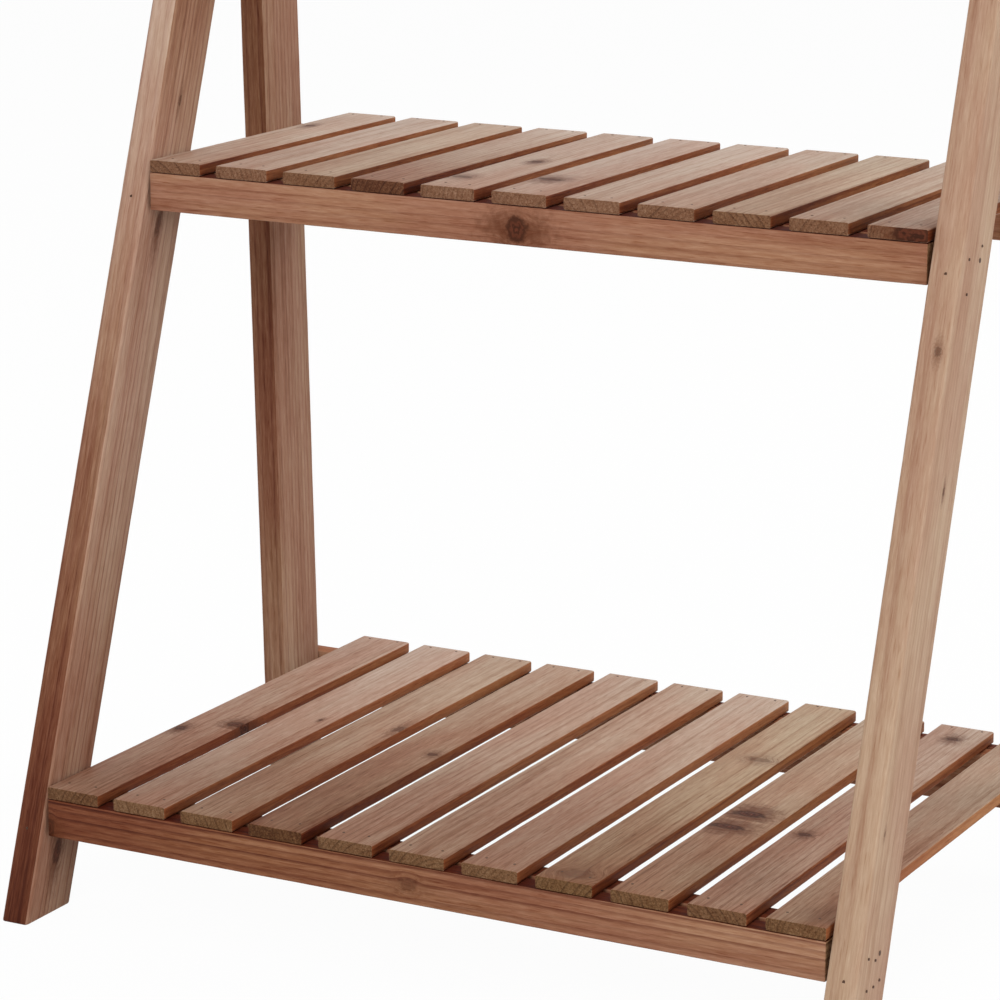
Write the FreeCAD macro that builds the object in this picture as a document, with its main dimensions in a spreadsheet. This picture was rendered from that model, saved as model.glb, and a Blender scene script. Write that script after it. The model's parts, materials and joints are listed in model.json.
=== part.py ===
import FreeCAD, Part
import os

import Sketcher

# A folding plant stand: an A-frame of four wooden legs that turn on two bolts at the top, and
# three slatted shelves between them. Each shelf turns on two steel pins in the front legs, lies
# on a cross bar of the back legs and hooks behind it, so that the legs cannot slide apart.
# Lengths are in mm and angles in degrees. X runs along the shelves, Y from front to back, Z up.
# The origin is on the floor, in the middle of the stand.

os.makedirs("parts", exist_ok=True)
document = FreeCAD.newDocument("plant_stand")

tiers = ["lower", "middle", "upper"]

# ---------------------------------------------------------------------------- driving sizes
driving = [
    # legs
    ("leg_width", 19.0),            # seen from the front
    ("leg_depth", 45.0),            # seen from the side, square to the leg
    ("leg_round", 2.5),             # radius of the eased long edges
    ("leg_overrun", 20.0),          # leg above the bolt that joins front and back
    ("back_lean", 2.8),             # back legs lean forward by this angle
    # shelves
    ("shelf_length", 516.0),
    ("shelf_end_gap", 1.6),         # running gap between a shelf and each front leg
    ("shelf_depth", 384.0),         # lowest shelf, front to back
    ("upper_shelf_depth", 102.5),   # highest shelf; the lean of the front legs follows from both
    ("shelf_proud", 5.0),           # front edge of a shelf ahead of the leg's front face
    ("lowest_shelf", 83.0),         # top of the lowest shelf above the floor
    ("shelf_rise", 370.0),          # from one shelf to the next
    ("slat_width", 37.0),
    ("slat_thickness", 8.0),
    ("slat_round", 1.4),
    ("slat_count", 11),
    # rails under the slats
    ("rail_height", 24.0),
    ("rail_round", 1.2),
    ("front_rail_thickness", 15.0),
    ("pivot_rail_thickness", 18.0),
    ("rear_rail_thickness", 8.5),
    ("hook_gap", 0.4),              # between the rear rail and the cross bar that it hooks behind
    # shelf pins
    ("pin_radius", 1.5),
    ("pin_bite", 25.0),             # length of pin inside the pivot rail
    ("pin_clearance", 0.05),
    ("pivot_setback", 28.0),        # pin behind the shelf's front edge
    ("pivot_drop", 20.0),           # pin below the shelf's top
    # cross bars of the back frame
    ("bar_height", 35.0),
    ("bar_thickness", 12.5),
    ("bar_round", 1.2),
    ("bar_seat", 0.3),              # between a bar's top edge and the slats that lie on it
    ("screw_radius", 2.0),
    ("screw_head_radius", 4.0),
    ("screw_length", 36.0),
    ("screw_spacing", 17.0),        # between the two screws at each end of a bar
    ("screw_clearance", 0.05),
    # bolts that join front and back legs
    ("bolt_radius", 3.0),
    ("bolt_clearance", 0.05),
    ("bolt_head_radius", 7.0),
    ("bolt_head_height", 3.3),
    ("bolt_head_round", 3.1),
    ("bolt_tip", 1.5),              # bolt that stands out of its nut
    ("washer_radius", 6.5),
    ("washer_thickness", 1.0),      # under the nut, and between the two legs of a side
    ("joint_play", 0.4),            # left between a back leg and the parts on each side of it
    ("nut_flats", 10.0),            # across flats
    ("nut_height", 6.0),
]

# ---------------------------------------------------------------------------- sizes worked out
worked = [
    ("back_tan", "tan(sizes.back_lean)"),
    ("back_cos", "cos(sizes.back_lean)"),
    ("back_sin", "sin(sizes.back_lean)"),
    # the front legs lean back by as much as the shelves get shallower from tier to tier
    ("depth_step", f"(sizes.shelf_depth - sizes.upper_shelf_depth) / {len(tiers) - 1}"),
    ("front_tan", "worked.depth_step / sizes.shelf_rise - worked.back_tan"),
    ("front_lean", "atan(worked.front_tan)"),
    ("front_cos", "cos(worked.front_lean)"),
    ("front_sin", "sin(worked.front_lean)"),
    # across the stand
    ("shelf_half", "sizes.shelf_length / 2"),
    ("front_leg_x", "worked.shelf_half + sizes.shelf_end_gap"),
    ("spacer_x", "worked.front_leg_x + sizes.leg_width"),
    ("back_leg_x", "worked.spacer_x + sizes.washer_thickness + sizes.joint_play"),
    ("outside_x", "worked.back_leg_x + sizes.leg_width"),
    ("slat_pitch", "(sizes.shelf_length - sizes.slat_width) / (sizes.slat_count - 1)"),
    # front to back: the floor under the stand is centred between the front feet and the shelf
    ("front_foot", "sizes.shelf_proud - sizes.lowest_shelf * worked.front_tan"),
    ("shelf_y", "-(sizes.shelf_depth + worked.front_foot) / 2"),
    ("front_leg_y", "worked.shelf_y + worked.front_foot"),
    ("shelf_step", "sizes.shelf_rise * worked.front_tan"),
    ("rail_drop", "sizes.slat_thickness + sizes.rail_height"),
    ("hook_y", "worked.shelf_y + sizes.shelf_depth - sizes.rear_rail_thickness - sizes.hook_gap"),
    ("back_leg_y", "worked.hook_y - sizes.bar_thickness / worked.back_cos"
                   " + (sizes.lowest_shelf - worked.rail_drop) * worked.back_tan"),
    # the bolt is where the middle lines of front and back legs cross
    ("half_depths", "sizes.leg_depth / 2 * (1 / worked.front_cos + 1 / worked.back_cos)"),
    ("bolt_z", "(worked.back_leg_y - worked.front_leg_y - worked.half_depths)"
               " / (worked.front_tan + worked.back_tan)"),
    ("bolt_y", "worked.front_leg_y + sizes.leg_depth / (2 * worked.front_cos)"
               " + worked.bolt_z * worked.front_tan"),
    ("top_z", "worked.bolt_z + sizes.leg_overrun"),
    # along a front leg, from its foot and its front face
    ("front_bolt_up", "(worked.bolt_z + sizes.leg_depth / 2 * worked.front_sin) / worked.front_cos"),
    ("pivot_dy", "worked.shelf_y + sizes.pivot_setback - worked.front_leg_y"),
    ("pivot_z", "sizes.lowest_shelf - sizes.pivot_drop"),
    ("pivot_in", "worked.pivot_dy * worked.front_cos - worked.pivot_z * worked.front_sin"),
    ("pivot_up", "worked.pivot_dy * worked.front_sin + worked.pivot_z * worked.front_cos"),
    ("front_step", "sizes.shelf_rise / worked.front_cos"),
    # along a back leg, from its foot and its rear face
    ("back_bolt_up", "(worked.bolt_z + sizes.leg_depth / 2 * worked.back_sin) / worked.back_cos"),
    ("bar_up", "(sizes.lowest_shelf - sizes.slat_thickness - sizes.bar_seat"
               " - sizes.bar_thickness * worked.back_sin) / worked.back_cos - sizes.bar_height"),
    ("back_step", "sizes.shelf_rise / worked.back_cos"),
    ("screw_head_height", "sizes.screw_head_radius - sizes.screw_radius"),
    # along a bolt, from the middle of the stand
    ("nut_x", "worked.front_leg_x - sizes.washer_thickness - sizes.nut_height"),
    ("bolt_tip_x", "worked.nut_x - sizes.bolt_tip"),
    ("bolt_head_x", "worked.outside_x + sizes.joint_play"),
]


def fill_sheet(name, rows):
    sheet = document.addObject("Spreadsheet::Sheet", name)
    for row, (alias, content) in enumerate(rows, start=1):
        sheet.set(f"A{row}", alias)
        sheet.set(f"B{row}", content)
        sheet.setAlias(f"B{row}", alias)
    return sheet


fill_sheet("sizes", [(alias, str(number)) for alias, number in driving])
fill_sheet("worked", [(alias, "=" + formula) for alias, formula in worked])
document.recompute()
slat_count = int(document.sizes.slat_count)
nodes = []


# ---------------------------------------------------------------------------- shared steps
def new_body(label, x="0", y="0", z="0", tilt=None):
    """A body placed at x, y, z and turned about the X axis by tilt."""
    body = document.addObject("PartDesign::Body", label)
    body.Label = label
    nodes.append(body)
    body.setExpression("Placement.Base.x", x)
    body.setExpression("Placement.Base.y", y)
    body.setExpression("Placement.Base.z", z)
    if tilt:
        body.Placement.Rotation = FreeCAD.Rotation(FreeCAD.Vector(1, 0, 0), 1)
        body.setExpression("Placement.Rotation.Angle", tilt)
    return body


def new_sketch(body, name, plane, offset=None):
    """A sketch on one of the body's own planes, moved along its normal by offset."""
    sketch = body.newObject("Sketcher::SketchObject", f"{body.Name}_{name}")
    support = [feature for feature in body.Origin.OriginFeatures if feature.Role == plane]
    sketch.AttachmentSupport = [(support[0], "")]
    sketch.MapMode = "FlatFace"
    if offset:
        sketch.setExpression("AttachmentOffset.Base.z", offset)
    return sketch


def fix(sketch, kind, geometry, point, expression, start=1.0):
    """Hold one point of the sketch at a signed distance from its origin, or set a radius."""
    if kind == "Radius":
        index = sketch.addConstraint(Sketcher.Constraint("Radius", geometry, start))
    else:
        index = sketch.addConstraint(Sketcher.Constraint(kind, -1, 1, geometry, point, start))
    name = f"size_{index}"
    sketch.renameConstraint(index, name)
    sketch.setExpression(f"Constraints.{name}", expression)


def add_outline(sketch, corners):
    """A closed outline of straight lines whose corners are given as pairs of expressions."""
    count = len(corners)
    ring = [FreeCAD.Vector(*turn, 0) for turn in ((0, 0), (1, 0), (2, 1), (1, 2), (0, 2), (-1, 1))]
    if count == 4:
        ring = [FreeCAD.Vector(*turn, 0) for turn in ((0, 0), (1, 0), (1, 1), (0, 1))]
    first = len(sketch.Geometry)
    for corner in range(count):
        sketch.addGeometry(Part.LineSegment(ring[corner], ring[(corner + 1) % count]))
    for corner in range(count):
        following = first + (corner + 1) % count
        sketch.addConstraint(Sketcher.Constraint("Coincident", first + corner, 2, following, 1))
    for corner, (across, up) in enumerate(corners):
        fix(sketch, "DistanceX", first + corner, 1, across, ring[corner].x)
        fix(sketch, "DistanceY", first + corner, 1, up, ring[corner].y)


def add_circle(sketch, across, up, radius):
    circle = sketch.addGeometry(Part.Circle(FreeCAD.Vector(1, 1, 0), FreeCAD.Vector(0, 0, 1), 1))
    fix(sketch, "DistanceX", circle, 3, across)
    fix(sketch, "DistanceY", circle, 3, up)
    fix(sketch, "Radius", circle, 0, radius)


def add_feature(body, kind, sketch, length, reverse=False, taper=None):
    """A pad or a pocket of one sketch."""
    feature = body.newObject(f"PartDesign::{kind}", f"{sketch.Name}_{kind.lower()}")
    feature.Profile = sketch
    feature.Reversed = reverse
    feature.setExpression("Length", length)
    if taper:
        feature.TaperAngle = taper
    return feature


def cut(body, sketch, length, reverse=False, taper=None):
    """A pocket that has to take material away."""
    document.recompute()
    before = body.Shape.Volume
    add_feature(body, "Pocket", sketch, length, reverse, taper)
    document.recompute()
    assert body.Shape.Volume < before, f"{sketch.Name} cuts nothing"


def ease_long_edges(body, pad, axis, radius):
    """Round the straight edges that run along the piece's own axis."""
    document.recompute()
    chosen = []
    for number, edge in enumerate(pad.Shape.Edges, start=1):
        run = edge.lastVertex().Point - edge.firstVertex().Point
        if isinstance(edge.Curve, Part.Line) and abs(run.dot(axis)) > 0.99 * edge.Length > 0:
            chosen.append(f"Edge{number}")
    fillet = body.newObject("PartDesign::Fillet", f"{body.Name}_eased")
    fillet.Base = (pad, chosen)
    fillet.setExpression("Radius", radius)


def board(label, plane, section, length, radius, place, tilt=None):
    """A straight board: its section on one plane, padded along that plane's axis."""
    width, height = section
    body = new_body(label, *place, tilt=tilt)
    sketch = new_sketch(body, "section", plane)
    add_outline(sketch, [("0", "0"), (width, "0"), (width, height), ("0", height)])
    along_y = plane == "XZ_Plane"
    pad = add_feature(body, "Pad", sketch, length, reverse=along_y)
    axis = FreeCAD.Vector(0, 1, 0) if along_y else FreeCAD.Vector(1, 0, 0)
    ease_long_edges(body, pad, axis, radius)
    return body


# ---------------------------------------------------------------------------- legs
def leg(label, x, y, lean, side, holes):
    """A leg cut level at foot and top. In its own frame it stands upright with one face on Y=0
    and lies behind that face (side is plus) or in front of it (side is minus)."""
    tilt = "-worked.front_lean" if lean == "front" else "sizes.back_lean"
    depth = f"{side}sizes.leg_depth"
    heel = f"sizes.leg_depth * worked.{lean}_tan"
    height = f"worked.top_z / worked.{lean}_cos"
    body = new_body(label, x, y, tilt=tilt)
    sketch = new_sketch(body, "profile", "YZ_Plane")
    add_outline(sketch, [("0", "0"), (depth, heel), (depth, f"{height} + {heel}"), ("0", height)])
    for across, up, radius in holes:
        add_circle(sketch, across, up, radius)
    pad = add_feature(body, "Pad", sketch, "sizes.leg_width")
    ease_long_edges(body, pad, FreeCAD.Vector(0, 0, 1), "sizes.leg_round")
    return body


def front_leg(label, x):
    bolt_hole = ("sizes.leg_depth / 2", "worked.front_bolt_up", "sizes.bolt_radius + sizes.bolt_clearance")
    pin_holes = [("worked.pivot_in", f"worked.pivot_up + {tier} * worked.front_step",
                  "sizes.pin_radius + sizes.pin_clearance") for tier in range(len(tiers))]
    return leg(label, x, "worked.front_leg_y", "front", "", [bolt_hole] + pin_holes)


def screw_heights():
    """Height of every bar screw along the back leg."""
    heights = []
    for tier in range(len(tiers)):
        middle = f"worked.bar_up + {tier} * worked.back_step + sizes.bar_height / 2"
        heights.append(f"{middle} - sizes.screw_spacing / 2")
        heights.append(f"{middle} + sizes.screw_spacing / 2")
    return heights


def back_leg(label, x):
    bolt_hole = ("-sizes.leg_depth / 2", "worked.back_bolt_up", "sizes.bolt_radius + sizes.bolt_clearance")
    body = leg(label, x, "worked.back_leg_y", "back", "-", [bolt_hole])
    screws = new_sketch(body, "screws", "XZ_Plane")
    for height in screw_heights():
        add_circle(screws, "sizes.leg_width / 2", height, "sizes.screw_radius + sizes.screw_clearance")
    cut(body, screws, "sizes.screw_length - sizes.bar_thickness + sizes.screw_clearance", reverse=True)
    return body


front_leg("front_leg_left", "-worked.front_leg_x - sizes.leg_width")
front_leg("front_leg_right", "worked.front_leg_x")
back_leg("back_leg_left", "-worked.outside_x")
back_leg("back_leg_right", "worked.back_leg_x")


# ---------------------------------------------------------------------------- back cross bars
def screw_columns():
    """Place of the screws across the stand, in the middle of each back leg."""
    middle = "worked.back_leg_x + sizes.leg_width / 2"
    return [f"-({middle})", middle]


def cross_bar(tier, name):
    up = f"worked.bar_up + {tier} * worked.back_step"
    body = new_body(f"back_bar_{name}", y="worked.back_leg_y", tilt="sizes.back_lean")
    sketch = new_sketch(body, "section", "YZ_Plane", "-worked.outside_x")
    top = f"{up} + sizes.bar_height"
    add_outline(sketch, [("0", up), ("sizes.bar_thickness", up), ("sizes.bar_thickness", top), ("0", top)])
    pad = add_feature(body, "Pad", sketch, "2 * worked.outside_x")
    ease_long_edges(body, pad, FreeCAD.Vector(1, 0, 0), "sizes.bar_round")
    rear_face = "-sizes.bar_thickness"
    holes = new_sketch(body, "screw_holes", "XZ_Plane", rear_face)
    sinks = new_sketch(body, "countersinks", "XZ_Plane", rear_face)
    for across in screw_columns():
        for height in screw_heights()[2 * tier:2 * tier + 2]:
            add_circle(holes, across, height, "sizes.screw_radius + sizes.screw_clearance")
            add_circle(sinks, across, height, "sizes.screw_head_radius + sizes.screw_clearance")
    cut(body, holes, "sizes.bar_thickness", reverse=True)
    cut(body, sinks, "worked.screw_head_height", reverse=True, taper=-45)
    return body


for tier, name in enumerate(tiers):
    cross_bar(tier, name)


def bar_screws():
    body = new_body("back_bar_screws", y="worked.back_leg_y", tilt="sizes.back_lean")
    heads = new_sketch(body, "heads", "XZ_Plane", "-sizes.bar_thickness")
    shanks = new_sketch(body, "shanks", "XZ_Plane", "-sizes.bar_thickness")
    for across in screw_columns():
        for height in screw_heights():
            add_circle(heads, across, height, "sizes.screw_head_radius")
            add_circle(shanks, across, height, "sizes.screw_radius")
    add_feature(body, "Pad", heads, "worked.screw_head_height", taper=-45)
    add_feature(body, "Pad", shanks, "sizes.screw_length")
    return body


bar_screws()


# ---------------------------------------------------------------------------- top bolts
def bolt_body(label):
    """A body whose X axis is the line through both bolts."""
    return new_body(label, y="worked.bolt_y", z="worked.bolt_z")


def disc(body, name, start, length, radius, bore=None):
    """A round piece on the body's X axis from start, with a bore if one is given."""
    sketch = new_sketch(body, name, "YZ_Plane", start)
    add_circle(sketch, "0", "0", radius)
    if bore:
        add_circle(sketch, "0", "0", bore)
    return add_feature(body, "Pad", sketch, length)


def both_sides(start, length):
    """The same piece on the right and on the left of the stand."""
    return (("right", start), ("left", f"-({start}) - {length}"))


def bolts():
    """Round-headed bolts, put in from outside the back legs."""
    body = bolt_body("leg_bolts")
    shank_length = "(worked.bolt_head_x - worked.bolt_tip_x)"
    for side, start in both_sides("worked.bolt_tip_x", shank_length):
        disc(body, f"{side}_shank", start, shank_length, "sizes.bolt_radius")
    for side, start in both_sides("worked.bolt_head_x", "sizes.bolt_head_height"):
        head = disc(body, f"{side}_head", start, "sizes.bolt_head_height", "sizes.bolt_head_radius")
    document.recompute()
    crown = document.worked.bolt_head_x + document.sizes.bolt_head_height
    rims = [f"Edge{number}" for number, edge in enumerate(head.Shape.Edges, start=1)
            if abs(abs(edge.CenterOfMass.x) - crown) < 0.01]
    fillet = body.newObject("PartDesign::Fillet", "leg_bolts_domed")
    fillet.Base = (head, rims)
    fillet.setExpression("Radius", "sizes.bolt_head_round")


def washers():
    """A spacer between each pair of legs, and a washer under each nut."""
    body = bolt_body("leg_bolt_washers")
    under_nut = "worked.front_leg_x - sizes.washer_thickness"
    bore = "sizes.bolt_radius + sizes.bolt_clearance"
    for name, place in (("inner", under_nut), ("spacer", "worked.spacer_x")):
        for side, start in both_sides(place, "sizes.washer_thickness"):
            disc(body, f"{side}_{name}", start, "sizes.washer_thickness", "sizes.washer_radius", bore)


def nuts():
    body = bolt_body("leg_bolt_nuts")
    corner = "sizes.nut_flats / 1.7320508"
    half = f"{corner} / 2"
    flat = "sizes.nut_flats / 2"
    hexagon = [(f"-{half}", f"-{flat}"), (half, f"-{flat}"), (corner, "0"),
               (half, flat), (f"-{half}", flat), (f"-{corner}", "0")]
    for side, start in both_sides("worked.nut_x", "sizes.nut_height"):
        sketch = new_sketch(body, f"{side}_hexagon", "YZ_Plane", start)
        add_outline(sketch, hexagon)
        add_circle(sketch, "0", "0", "sizes.bolt_radius + sizes.bolt_clearance")
        add_feature(body, "Pad", sketch, "sizes.nut_height")


bolts()
washers()
nuts()


# ---------------------------------------------------------------------------- shelf pins
def shelf_pins():
    """Six steel pins, flush with the outside of the front legs, that carry the shelves' fronts."""
    body = new_body("shelf_pins", y="worked.shelf_y + sizes.pivot_setback", z="worked.pivot_z")
    length = "(worked.front_leg_x + sizes.leg_width - worked.shelf_half + sizes.pin_bite)"
    for side, start in both_sides("worked.shelf_half - sizes.pin_bite", length):
        sketch = new_sketch(body, side, "YZ_Plane", start)
        for tier in range(len(tiers)):
            back, up = f"{tier} * worked.shelf_step", f"{tier} * sizes.shelf_rise"
            add_circle(sketch, back, up, "sizes.pin_radius")
        add_feature(body, "Pad", sketch, length)


shelf_pins()


# ---------------------------------------------------------------------------- shelves
def rail(label, thickness, y, z):
    section = (thickness, "sizes.rail_height")
    place = ("-worked.shelf_half", y, z)
    return board(label, "YZ_Plane", section, "sizes.shelf_length", "sizes.rail_round", place)


def bore_for_pins(body):
    """A blind hole in each end of the pivot rail, in line with the pins."""
    across = "sizes.pivot_rail_thickness / 2"
    up = "worked.rail_drop - sizes.pivot_drop"
    for name, offset, into in (("left_bore", "0", True), ("right_bore", "sizes.shelf_length", False)):
        sketch = new_sketch(body, name, "YZ_Plane", offset)
        add_circle(sketch, across, up, "sizes.pin_radius + sizes.pin_clearance")
        cut(body, sketch, "sizes.pin_bite + sizes.pin_clearance", reverse=into)


def shelf(tier, name):
    front = f"worked.shelf_y + {tier} * worked.shelf_step"
    top = f"sizes.lowest_shelf + {tier} * sizes.shelf_rise"
    depth = f"sizes.shelf_depth - {tier} * worked.depth_step"
    under_slats = f"{top} - sizes.slat_thickness"
    under_rails = f"{top} - worked.rail_drop"
    slat_section = ("sizes.slat_width", "sizes.slat_thickness")
    for number in range(slat_count):
        label = f"{name}_shelf_slat_{number + 1:02d}"
        place = (f"-worked.shelf_half + {number} * worked.slat_pitch", front, under_slats)
        board(label, "XZ_Plane", slat_section, depth, "sizes.slat_round", place)
    rail(f"{name}_shelf_front_rail", "sizes.front_rail_thickness", front, under_rails)
    pivot_y = f"{front} + sizes.pivot_setback - sizes.pivot_rail_thickness / 2"
    pivot_rail = rail(f"{name}_shelf_pivot_rail", "sizes.pivot_rail_thickness", pivot_y, under_rails)
    bore_for_pins(pivot_rail)
    rear_y = f"{front} + {depth} - sizes.rear_rail_thickness"
    rail(f"{name}_shelf_rear_rail", "sizes.rear_rail_thickness", rear_y, under_rails)


for tier, name in enumerate(tiers):
    shelf(tier, name)


# ---------------------------------------------------------------------------- checks and files
document.recompute()
for item in document.Objects:
    faults = [state for state in item.State if state in ("Invalid", "Error")]
    assert not faults, f"{item.Label}: {faults}"
for node in nodes:
    assert not node.Shape.isNull() and node.Shape.isValid(), f"{node.Label} has no valid shape"
for node in nodes:
    node.Shape.exportStep(f"parts/{node.Label}.step")
print(len(nodes), "sub-parts written")
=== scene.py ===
import json
import math
import random

import bpy
from mathutils import Matrix, Vector


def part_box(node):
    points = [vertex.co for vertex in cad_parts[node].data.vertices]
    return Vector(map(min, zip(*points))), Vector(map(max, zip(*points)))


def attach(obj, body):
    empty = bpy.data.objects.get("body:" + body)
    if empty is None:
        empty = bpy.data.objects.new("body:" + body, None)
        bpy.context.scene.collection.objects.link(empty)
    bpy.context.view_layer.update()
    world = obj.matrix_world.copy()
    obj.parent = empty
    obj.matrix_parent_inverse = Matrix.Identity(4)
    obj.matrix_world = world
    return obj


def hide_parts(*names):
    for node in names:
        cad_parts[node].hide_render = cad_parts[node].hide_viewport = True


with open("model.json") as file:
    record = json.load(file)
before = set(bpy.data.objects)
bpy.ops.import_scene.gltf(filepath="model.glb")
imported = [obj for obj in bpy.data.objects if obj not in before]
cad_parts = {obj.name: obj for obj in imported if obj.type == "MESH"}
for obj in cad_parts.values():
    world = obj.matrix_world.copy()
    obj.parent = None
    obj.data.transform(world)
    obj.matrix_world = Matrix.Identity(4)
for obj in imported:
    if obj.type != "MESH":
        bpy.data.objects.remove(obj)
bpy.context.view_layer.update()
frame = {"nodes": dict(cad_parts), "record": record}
bodyOf = {node: body for body, nodes in frame["record"]["behaviour"]["bodies"].items() for node in nodes}
tierNames = ["lower", "middle", "upper"]
print("frame loaded:", len(bodyOf), "nodes")


# #rrggbb in sRGB to the linear values that the shaders take
def toLinear(hexColour):
    parts = [int(hexColour[start:start + 2], 16) / 255 for start in (1, 3, 5)]
    return [p / 12.92 if p <= 0.04045 else ((p + 0.055) / 1.055) ** 2.4 for p in parts] + [1.0]


# one node with its settings; an input takes a number, a colour, a socket, or a node's first output
def addNode(tree, kind, settings, inputs=None):
    node = tree.nodes.new(kind)
    for name, value in settings.items():
        setattr(node, name, value)
    for key, value in (inputs or {}).items():
        if isinstance(value, bpy.types.Node):
            value = next(socket for socket in value.outputs if socket.enabled)
        if isinstance(value, bpy.types.NodeSocket):
            tree.links.new(value, node.inputs[key])
        else:
            node.inputs[key].default_value = value
    return node


def emptyMaterial(name):
    material = bpy.data.materials.new(name)
    material.use_nodes = True
    material.node_tree.nodes.clear()
    return material


def deselectAll():
    if bpy.context.mode != "OBJECT":
        bpy.ops.object.mode_set(mode="OBJECT")
    bpy.ops.object.select_all(action="DESELECT")


# one edit mode step on the edges, or on the faces, that pass a test
def editMesh(thing, kind, chosen, action):
    mesh = thing.data
    for group in (mesh.polygons, mesh.edges, mesh.vertices):
        group.foreach_set("select", [False] * len(group))
    if kind == "edges":
        for edge in mesh.edges:
            first, second = (mesh.vertices[index].co for index in edge.vertices)
            edge.select = chosen(first, second)
    else:
        for face in mesh.polygons:
            face.select = chosen(face)
    bpy.context.tool_settings.mesh_select_mode = (False, kind == "edges", kind == "faces")
    bpy.context.view_layer.objects.active = thing
    bpy.ops.object.mode_set(mode="EDIT")
    action()
    bpy.ops.object.mode_set(mode="OBJECT")


# puts a new piece on its body, in the place of a node where it has one
def seatPiece(piece, material, body, node=None):
    piece.data.materials.clear()
    piece.data.materials.append(material)
    if node:
        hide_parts(node)
    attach(piece, body)


# the patterns of the wood, each in mm along the grain and across it
grain = {
    "wander": (420, 70),  # a bend in the year rings
    "streak": (250, 6.7),  # a band that drank more or less stain
    "patch": (140, 33),  # a rosier or paler patch
    "fibre": (14, 1.05),  # fibres are 3 by 0.03 mm, too fine to show, so a bundle of them is drawn
    "duct": (14, 0.67),  # a resin duct opened by the plane, drawn three times as wide as it is
    "pit": (1.1, 1.1),  # a torn spot in the sawn ends
}
waves = {name: (1000 / along, 1000 / across, 1000 / across) for name, (along, across) in grain.items()}

# where each pattern starts to show and where it is full, as values of its noise
spans = {
    "patch": (0.34, 0.66), "streak": (0.47, 0.72), "duct": (0.60, 0.74), "pit": (0.32, 0.68),
    "noise": (0.25, 0.75),  # about all that a noise gives, for stain and gloss without an edge
}
# the dark late wood of each year: its share in the poorest year, where in the year it is full and
# where it breaks off
lateWood = {"poorYear": 0.2, "full": 0.9, "breaksOff": 0.93}

# a knot, by the distance from its middle in knot radii. A noise adds up to "ragged" to it, about
# half of that as a rule, so a knot of radius 1 ends near 2. Each pair is where a part of it starts
# to come or go, and where it has done so
knotShape = {
    "ragged": 2.0, "heart": (1.4, 2.3), "whorls": 6.0,
    "rimIn": (1.45, 2.0), "rimOut": (2.0, 2.8), "rimDepth": 0.85,  # the bark that grew in round it
    "halo": (2.0, 4.6), "haloRagged": 3.0, "haloStretch": (0.42, 0.9, 0),  # drawn out along the grain
    "swing": 0.0009, "swingReach": 3.4,  # the grain goes round it, by 0.9 mm for 1 mm of its radius
}

# the planed skin: how much fibres and the cracks round knots count beside the late wood, the height
# of it all in metres, how far the roughness varies to both sides, and the gloss
skin = {"fibre": 0.9, "crack": -0.9, "bump": 0.4, "height": 0.0004, "glossier": 0.08, "duller": 0.10,
        "ior": 1.45, "specular": 0.14}


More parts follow.
